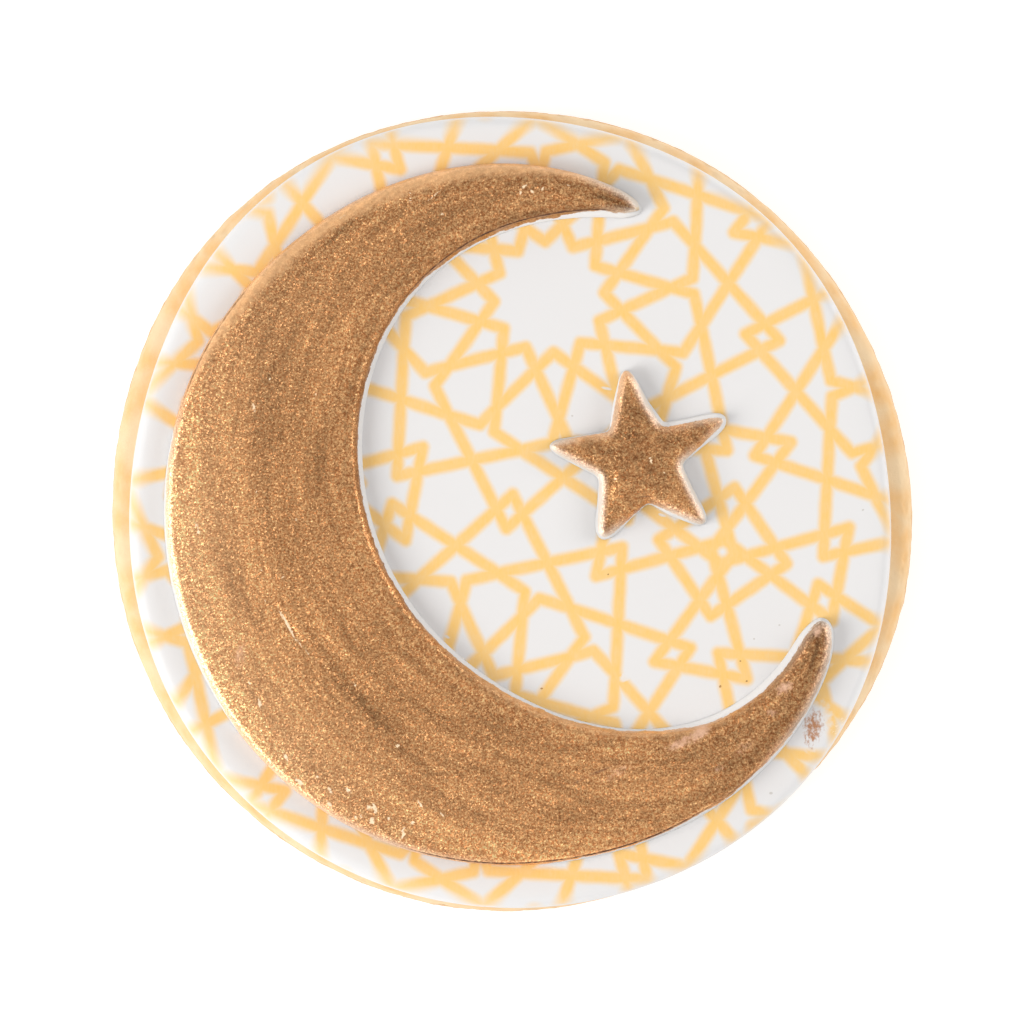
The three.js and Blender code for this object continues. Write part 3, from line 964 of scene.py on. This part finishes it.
# Glints: highlights painted on flecks and scratches, on the lit side of a dent and at the upper tip.
CRESCENT_GLINTS = [
    (-24.4, 9.8, 1.2, 0.36, -75, 1), (-18.6, 11.0, 0.4, 0.3, 60, 1),
    (-29.8, -1.3, 1.0, 0.3, -80, 1), (-29.6, -2.0, 0.4, 0.35, 0, 1), (-24.2, 1.9, 0.5, 0.22, 90, 1),
    (-20.4, -0.6, 0.4, 0.22, 70, 1), (-23.6, -5.4, 0.5, 0.22, 60, 1), (-21.7, -6.1, 0.5, 0.3, 20, 1),
    (-21.3, -10.5, 3.6, 0.24, -60, 1.3), (-23.3, -8.5, 0.8, 0.2, -50, 1),
    (-22.9, 12.6, 0.5, 0.25, 80, 0.9), (-26.6, 6.2, 0.4, 0.3, 0, 0.9),
    (-17.2, -26.3, 1.0, 0.36, -60, 1.1), (-17.3, -27.6, 0.9, 0.4, -50, 1.1),
    (-15.5, -26.3, 0.8, 0.34, -40, 1.1), (-14.6, -28.8, 0.9, 0.36, 10, 1.1),
    (-13.6, -27.9, 0.8, 0.36, 80, 1.1), (-13.0, -28.0, 1.2, 0.4, -75, 1.2),
    (-13.3, -29.2, 0.9, 0.5, 60, 1.1), (-10.3, -30.4, 1.2, 0.42, 75, 1.2),
    (-8.7, -27.6, 0.9, 0.32, -60, 1), (-10.8, -22.1, 0.5, 0.36, 20, 1.1),
    (-21.4, -23.1, 0.9, 0.36, -60, 1.1), (-20.1, -25.5, 1.1, 0.5, -40, 1.1),
    (-24.9, -16.1, 0.6, 0.34, -45, 1), (-14.9, -16.3, 0.7, 0.3, -20, 1),
    (-15.8, -15.3, 0.5, 0.3, 60, 1), (-23.85, -18.1, 1.1, 0.34, 100, 1.2),
    (-19.4, -13.2, 4.2, 0.2, -49, 0.75), (-11.6, -29.0, 0.6, 0.3, 0, 1),
    (-6.6, -28.6, 0.6, 0.3, -30, 1), (-9.4, -29.4, 0.6, 0.3, 40, 1), (-18.5, -25.0, 0.5, 0.3, 0, 1),
    (1.2, 30.8, 0.8, 0.3, 35, 1), (1.9, 30.3, 0.6, 0.3, -50, 1), (0.8, 30.2, 0.5, 0.28, 80, 1),
    (2.9, 30.6, 0.5, 0.26, 60, 1), (-6.6, 28.2, 0.5, 0.3, 0, 0.9), (5.4, 30.9, 0.5, 0.26, 0, 0.9),
    (-7.25, 30.0, 2.6, 0.2, 41, 0.8), (-9.6, 29.6, 1.8, 0.22, 88, 0.8),
    (-16.0, 27.95, 1.6, 0.2, 31, 0.7),
    (11.9, 28.6, 0.9, 0.5, -60, 1),
]
CRESCENT_WORN = [
    (17.9, -20.7, 2.2, 1.5, 50, 1), (15.8, -21.9, 3.0, 1.2, 25, 0.9),
    (25.7, -16.6, 2.0, 1.2, 30, 1), (-25.7, -13.5, 3.0, 1.4, 80, 0.7),
    (28.9, -11.2, 1.6, 1.0, 60, 1), (24.5, -19.0, 1.0, 0.7, 0, 0.8),
    (22.0, -22.2, 3.0, 1.6, 40, 0.5), (10.0, -24.6, 4.0, 1.6, 30, 0.55),
    (19.5, -24.3, 1.4, 0.9, 20, 0.6), (25.6, -18.6, 2.6, 1.2, 60, 0.3),
]
# Dark scores: cracks in the paint, and last a shade painted on the dark side of a dent.
CRESCENT_SCORES_AND_SHADE = [
    (8.45, -24.45, 2.9, 0.22, 22, 0.9), (6.2, -25.5, 1.2, 0.22, 28, 0.8),
    (-23.15, -17.9, 0.9, 0.36, 90, 0.5),
]
# Broad darker and lighter sweeps of the brush, and how many thin ones are strewn between them.
CRESCENT_SWEEPS = [
    (-14.0, -18.2, 14.5, 1.7, -47, -0.3), (-12.6, -15.8, 4.0, 2.4, -50, 0.16),
    (-21.5, 21.0, 9.0, 1.6, 58, -0.16), (-15.5, 17.5, 7.0, 2.2, 50, 0.12),
    (-2.0, -24.5, 12.0, 1.4, -12, -0.14), (-25.0, -13.0, 7.0, 3.0, -60, 0.12),
    (-18.0, 6.0, 12.0, 1.2, 80, -0.14), (6.0, -22.3, 9.0, 1.0, 14, -0.12),
]
THIN_SWEEPS = 150
THIN_SWEEP_SEED = 11
# Glints: highlights painted on flecks of the star's gold.
STAR_GLINTS = [(13.1, 4.9, 0.8, 0.28, -80, 1), (14.4, 3.7, 0.3, 0.25, 0, 1), (9.8, 3.1, 0.4, 0.2, 0, 1)]
STAR_RELIEF = [(13.0, 5.0, 1.2, 0.5, -80, 0.06), (9.9, 2.6, 2.4, 0.4, 80, 0.05)]
STAR_SCORES = [(12.6, 1.45, 1.0, 0.16, 5, 0.9)]
STAR_SWEEPS = [
    (11.6, 8.6, 6.0, 4.4, 80, -0.16), (8.9, 5.9, 4.0, 1.6, -10, -0.1), (15.6, 6.6, 4.5, 1.4, 30, -0.1),
    (10.6, 1.8, 4.5, 2.0, 72, 0.18), (15.2, 1.4, 4.5, 1.8, -50, 0.16), (12.2, 4.4, 3.0, 1.6, 30, 0.08),
]


def crescent_shares():
    """Shares along the crescent's sides, closer together at its tips."""
    even = np.arange(CRESCENT_ROWS + 1) / CRESCENT_ROWS
    return even - TIP_CROWDING * np.sin(2 * math.pi * even) / (2 * math.pi)


def crescent_painted_light(points):
    """Painted light on the gold: how much lighter and paler it is painted by the outer arc's edge."""
    offset = points - np.array(CRESCENT_OUTER["centre"])
    angle = np.arctan2(offset[:, 1], offset[:, 0])
    inset = rim_radius(CRESCENT_OUTER, angle) - np.linalg.norm(offset, axis=1)
    edge = 1 - step_between(inset, -PAINTED_LIGHT_REACH / 2, PAINTED_LIGHT_REACH)
    degrees = np.degrees(angle) % 360
    tone_and_painted_light = INNER_PAINTED_LIGHT + (np.interp(degrees, *np.transpose(OUTER_PAINTED_LIGHT)) - INNER_PAINTED_LIGHT) * edge
    return tone_and_painted_light, np.interp(degrees, *np.transpose(OUTER_PAINTED_PALENESS)) * edge


def thin_sweeps(inner, outer):
    """Thin strokes strewn over the crescent, laid roughly along it."""
    chance = np.random.default_rng(THIN_SWEEP_SEED)
    marks = []
    for _ in range(THIN_SWEEPS):
        row = chance.integers(30, len(inner) - 30)
        across = chance.uniform(0.08, 0.92)
        x, y = inner[row] * (1 - across) + outer[row] * across
        along = inner[row + 5] - inner[row - 5] + outer[row + 5] - outer[row - 5]
        turn = math.degrees(math.atan2(along[1], along[0])) + chance.normal(0, 9)
        light = chance.choice((-1, 1)) * chance.uniform(0.08, 0.26)
        marks.append((x, y, chance.uniform(2.5, 8), chance.uniform(0.28, 0.5), turn, light))
    return marks


def crescent_grid(inner, outer):
    """The crescent's points row by row with its two tips last, and how far each lies along it."""
    middle_line = lengths_along((inner + outer) / 2)
    flat, flow = [], []
    for row in range(1, CRESCENT_ROWS):
        width = np.linalg.norm(outer[row] - inner[row])
        near = np.minimum(np.array(CRESCENT_INSETS) / width, MOST_INSETS)
        between = np.linspace(near[-1], 1 - near[-1], CRESCENT_MIDDLE + 1)[1:-1]
        across = np.concatenate([[0], near, between, 1 - near[::-1], [1]])[:, None]
        flat.append(inner[row] * (1 - across) + outer[row] * across)
        along = np.full((len(across), 1), middle_line[row])
        flow.append(np.hstack([along, across * width, np.zeros_like(across)]))
    flat += [inner[:1], inner[-1:]]
    flow += [[[0, 0, 0]], [[middle_line[-1], 0, 0]]]
    return np.vstack(flat), np.vstack(flow)


def make_crescent(gold):
    shares = crescent_shares()
    outer = points_along(crescent_side(CRESCENT_OUTER), shares)
    inner = points_along(crescent_side(CRESCENT_INNER), shares)
    flat, flow = crescent_grid(inner, outer)
    outline = np.vstack([inner, outer[1:-1][::-1]])
    distance, corner = nearest_on_outline(flat, outline)
    wall = along_sides(INNER_WALL, OUTER_WALL, shares)[corner]
    sides = {
        "lip": (INNER_LIP, OUTER_LIP),
        "dark_rim_and_shade": (INNER_SEAM, OUTER_SEAM),
        "smooth": (INNER_SMOOTH, OUTER_SMOOTH),
        "painted_highlight": (INNER_PAINTED_HIGHLIGHT, OUTER_PAINTED_HIGHLIGHT),
    }
    values = {key: along_sides(*side, shares)[corner] for key, side in sides.items()}
    rise = distance - wall
    values["painted_highlight"] *= fading(rise, PAINTED_HIGHLIGHT_REACH)
    height = ICING_TOP + puffed_height(rise, CRESCENT_THICKNESS, CRESCENT_BEVEL, wall)
    values["climb"] = rise + height - (ICING_TOP + WALL_HEIGHT - DOME_DROP)
    height += step_between(rise, 0.1, 1.0) * strokes(flat, CRESCENT_RELIEF)
    height = np.minimum(height, ICING_TOP + CRESCENT_THICKNESS)
    height[distance < ON_THE_EDGE] = ICING_TOP - SUNK
    points = np.column_stack([flat, height])
    values["flow"] = flow
    values["rise"] = rise + relief(points, GOLD_EDGE_WANDER)
    # Light and shade painted into the gold's colour by where the light falls; the brush's sweeps and
    # the inner edge's painted shade are multiplied in below.
    values["tone_and_painted_light"], values["painted_paleness"] = crescent_painted_light(flat)
    sweeps = CRESCENT_SWEEPS + thin_sweeps(inner, outer)
    values["tone_and_painted_light"] *= np.clip(1 + strokes(flat, sweeps), 0.5, 1.5)
    inner_side = corner <= CRESCENT_ROWS
    values["tone_and_painted_light"] *= 1 - INNER_EDGE_SHADE * inner_side * fading(rise, 2 * CRESCENT_BEVEL)
    marks = {"glint": CRESCENT_GLINTS, "worn": CRESCENT_WORN, "scores_and_shade": CRESCENT_SCORES_AND_SHADE}
    values.update({key: strokes(flat, places) for key, places in marks.items()})
    # Each row goes over the top from side to side, and its last face closes the underside.
    ring_count = CRESCENT_ROWS - 1
    faces = stacked_faces(ring_count, (len(points) - 2) // ring_count)
    make_piece("crescent", points, faces, gold, values)


def round_the_star(table, count, corner_steps=10):
    """Values at each point of the star's outline, given at its corners and edge middles."""
    places = corner_steps / 2 + np.arange(2 * len(table)) * count / (2 * len(table))
    return np.interp(np.arange(count), places, np.ravel(table), period=count)


def star_foot(outline):
    """The outline of the star's bare foot, spread out by a different width all round."""
    width = round_the_star(STAR_FOOT, len(outline))
    along = np.roll(outline, -1, axis=0) - outline
    facing = np.stack([along[:, 1], -along[:, 0]], axis=1)
    facing /= np.linalg.norm(facing, axis=1, keepdims=True)
    for _ in range(6):
        facing = (np.roll(facing, 1, axis=0) + facing) / 2
        facing = (np.roll(facing, -1, axis=0) + facing) / 2
    return outline + facing * width[:, None]


def make_star(gold):
    outline = star_outline()
    foot = star_foot(outline)
    steps = len(outline)
    centre = np.array(STAR_CENTRE)
    skirt = [foot, foot, foot * 0.6 + outline * 0.4]
    rings = skirt + [outline + (centre - outline) * share for share in STAR_RINGS]
    flat = np.vstack(rings + [centre, centre])
    distance, corner = nearest_on_outline(flat, outline)
    rise = distance.copy()
    rise[:len(skirt) * steps] *= -1
    rise[-2] = -1
    height = ICING_TOP + puffed_height(rise, STAR_THICKNESS, STAR_BEVEL, 0)
    height += step_between(rise, 0.1, 1.0) * strokes(flat, STAR_RELIEF)
    height = np.minimum(height, ICING_TOP + STAR_THICKNESS)
    for number, level in enumerate(SKIRT_HEIGHTS):
        height[number * steps:(number + 1) * steps] = ICING_TOP + level
    height[-2] = ICING_TOP - SUNK
    points = np.column_stack([flat, height])
    sweeps = 1 + strokes(points, STAR_SWEEPS)
    values = {
        # Stretched, so that the brush marks, which are longest along x, come out short and round.
        "flow": points * (10.0, 1.0, 0.0),
        "rise": rise,
        # Painted light and shade, lighter at the edge and darker in the middle, times the brush's
        # sweeps.
        "tone_and_painted_light": np.interp(rise, (0, STAR_PAINTED_LIGHT_REACH), STAR_PAINTED_LIGHT) * sweeps,
        "lip": np.full(len(points), STAR_LIP),
        "smooth": round_the_star(STAR_SMOOTH, steps)[corner],
        "painted_highlight": round_the_star(STAR_PAINTED_HIGHLIGHT, steps)[corner] * fading(rise, STAR_PAINTED_HIGHLIGHT_REACH),
        "glint": strokes(points, STAR_GLINTS),
        "scores_and_shade": strokes(points, STAR_SCORES),
    }
    # What only the crescent has.
    values.update({key: np.zeros(len(points)) for key in ("climb", "painted_paleness", "dark_rim_and_shade", "worn")})
    faces = stacked_faces(len(rings), steps)
    make_piece("star", points, faces, gold, values)


gold = gold_material()
make_biscuit()
make_icing()
make_crescent(gold)
make_star(gold)


# ---- the studio

CAMERA_HEIGHT = 3000.0
FRAME_WIDTH = 96.87
SENSOR = 36.0
FLOOR_HALF = 2000.0
PAPER = (0.6, 0.6, 0.6, 1.0)
PAPER_GLOW = 0.62
# The room is even and pale, and darker straight overhead, between these heights of direction.
WORLD_COLOUR = (1.0, 0.985, 0.97, 1.0)
WORLD_LIGHT = 0.74
OVERHEAD_LIGHT = 0.37
OVERHEAD_FROM = 0.55
OVERHEAD_TO = 0.95


def make_camera():
    """A long lens straight above, so that every outline shows at one scale."""
    data = bpy.data.cameras.new("camera")
    data.sensor_width = SENSOR
    data.lens = SENSOR * (CAMERA_HEIGHT - ICING_TOP) / FRAME_WIDTH
    camera = put_in_scene("camera", data)
    camera.location = (0, 0, CAMERA_HEIGHT * MM)
    bpy.context.scene.camera = camera


def make_softbox(name, place, size, watts, colour):
    """A square soft light that faces the cookie."""
    data = bpy.data.lights.new(name, "AREA")
    data.size = size * MM
    data.energy = watts
    data.color = colour
    light = put_in_scene(name, data)
    light.location = Vector(place) * MM
    light.rotation_euler = (-light.location).to_track_quat("-Z", "Y").to_euler()
    light.visible_camera = False


def make_floor():
    half = FLOOR_HALF * MM
    corners = [(-half, -half, 0), (half, -half, 0), (half, half, 0), (-half, half, 0)]
    mesh = bpy.data.meshes.new("floor")
    mesh.from_pydata(corners, [], [(0, 1, 2, 3)])
    shader = Shader(bpy.data.materials.new("white paper"))
    shader.set(Base_Color=PAPER, Roughness=0.9, Emission_Strength=PAPER_GLOW)
    mesh.materials.append(shader.owner)
    floor = put_in_scene("floor", mesh)


def make_world():
    shader = Shader(bpy.data.worlds.new("studio"), "Background")
    direction = shader.add("TexCoord", {}).outputs["Generated"]
    upward = shader.add("SeparateXYZ", {"Vector": direction}).outputs["Z"]
    light = shader.ramp(upward, OVERHEAD_FROM, OVERHEAD_TO, WORLD_LIGHT, OVERHEAD_LIGHT)
    shader.set(Color=WORLD_COLOUR, Strength=light)
    bpy.context.scene.world = shader.owner


make_camera()
make_floor()
make_world()
make_softbox("key", place=(-430, -160, 400), size=380, watts=2.35, colour=(1.0, 0.99, 0.97))
make_softbox("fill", place=(430, 130, 380), size=320, watts=1.0, colour=(1.0, 0.99, 0.98))
bpy.context.scene.view_settings.view_transform = "Standard"

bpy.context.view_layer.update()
